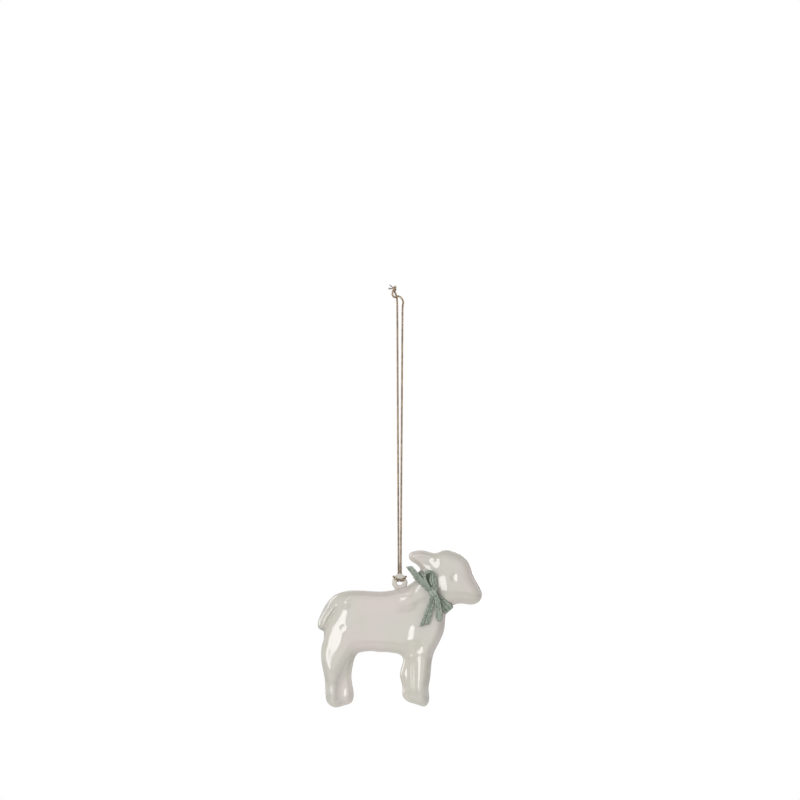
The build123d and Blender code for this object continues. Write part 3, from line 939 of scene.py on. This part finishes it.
def pale_room(strength):
    """A world that lights at a strength and looks white, also in reflections."""
    world = bpy.data.worlds.new("pale_room")
    world.use_nodes = True
    tree = world.node_tree
    background = tree.nodes["Background"]
    paths = tree.nodes.new("ShaderNodeLightPath")
    seen = paths.outputs["Is Camera Ray"]
    for ray in ("Is Glossy Ray", "Is Transmission Ray"):
        either = tree.nodes.new("ShaderNodeMath")
        either.operation = "MAXIMUM"
        tree.links.new(seen, either.inputs[0])
        tree.links.new(paths.outputs[ray], either.inputs[1])
        seen = either.outputs[0]
    level = tree.nodes.new("ShaderNodeMapRange")
    tree.links.new(seen, level.inputs["Value"])
    level.inputs["To Min"].default_value = strength
    level.inputs["To Max"].default_value = 1.0
    background.inputs["Color"].default_value = (1.0, 1.0, 1.0, 1.0)
    tree.links.new(level.outputs[0], background.inputs["Strength"])
    return world


def pale_floor():
    """A floor far below that returns some light and looks white."""
    bm = bmesh.new()
    bmesh.ops.create_grid(bm, x_segments=2, y_segments=2, size=FLOOR_SIZE)
    bmesh.ops.translate(bm, verts=bm.verts, vec=(0, 0, FLOOR_Z))
    floor = bpy.data.objects.new("pale_floor", mesh_from(bm, "pale_floor"))
    finish = Finish("pale_floor", roughness=0.9)
    grain = finish.noise(finish.coordinates("Object"), 40.0)
    finish.surface("Base Color", finish.mix(grain, (0.93, 0.93, 0.93), (0.96, 0.96, 0.96)))
    seen = finish.node("ShaderNodeLightPath", output="Is Camera Ray")
    lit = Signal(finish, finish.shader.outputs[0])
    white = finish.node("ShaderNodeEmission")
    shown = finish.node("ShaderNodeMixShader", {}, {0: seen, 1: lit, 2: white})
    finish.link(shown, finish.tree.nodes["Material Output"].inputs["Surface"])
    floor.data.materials.append(finish.material)
    return floor


class LAMB_OT_stage(bpy.types.Operator):
    """Sets the pale floor, the soft light and the camera"""

    bl_idname = "lamb.stage"
    bl_label = "Stage"

    def execute(self, context):
        scene = look()
        scene.view_settings.view_transform = "Standard"
        scene.world = pale_room(scene.stage.world)
        floor = pale_floor()
        scene.collection.objects.link(floor)
        for name, (place, size, radiance) in LAMPS.items():
            softbox(name, place, size, radiance)

        camera = bpy.data.cameras.new("camera")
        camera.lens = scene.stage.lens
        camera.sensor_width = 36.0
        camera.clip_end = 50.0
        holder = bpy.data.objects.new("camera", camera)
        distance = scene.stage.view_width * MM * camera.lens / camera.sensor_width
        holder.location = (CAMERA_X, -distance, CAMERA_Z)
        holder.rotation_euler = (radians(90), 0, 0)
        scene.collection.objects.link(holder)
        scene.camera = holder
        return {"FINISHED"}


class LAMB_PT_panel(bpy.types.Panel):
    """Lists the steps that build the ornament"""

    bl_label = "Hanging lamb"
    bl_idname = "LAMB_PT_panel"
    bl_space_type = "VIEW_3D"
    bl_region_type = "UI"
    bl_category = "Lamb"

    def draw(self, context):
        for step in STEPS:
            self.layout.operator(step.bl_idname)
        for group in LOOKS:
            for key in getattr(context.scene, group).__annotations__:
                self.layout.prop(getattr(context.scene, group), key)


STEPS = (LAMB_OT_shells, LAMB_OT_ring, LAMB_OT_cord, LAMB_OT_ribbon, LAMB_OT_stage)
LOOKS = {"enamel": EnamelLook, "ribbon": RibbonLook, "cord": CordLook, "stage": StageLook}


def register():
    for group in (*LOOKS.values(), *STEPS, LAMB_PT_panel):
        bpy.utils.register_class(group)
    for name, group in LOOKS.items():
        setattr(bpy.types.Scene, name, PointerProperty(type=group))


def unregister():
    for name in LOOKS:
        delattr(bpy.types.Scene, name)
    for group in (LAMB_PT_panel, *reversed(STEPS), *LOOKS.values()):
        bpy.utils.unregister_class(group)


def main():
    register()
    bpy.ops.lamb.shells()
    bpy.ops.lamb.ring()
    bpy.ops.lamb.cord()
    bpy.ops.lamb.ribbon()
    bpy.ops.lamb.stage()


if __name__ == "__main__":
    main()
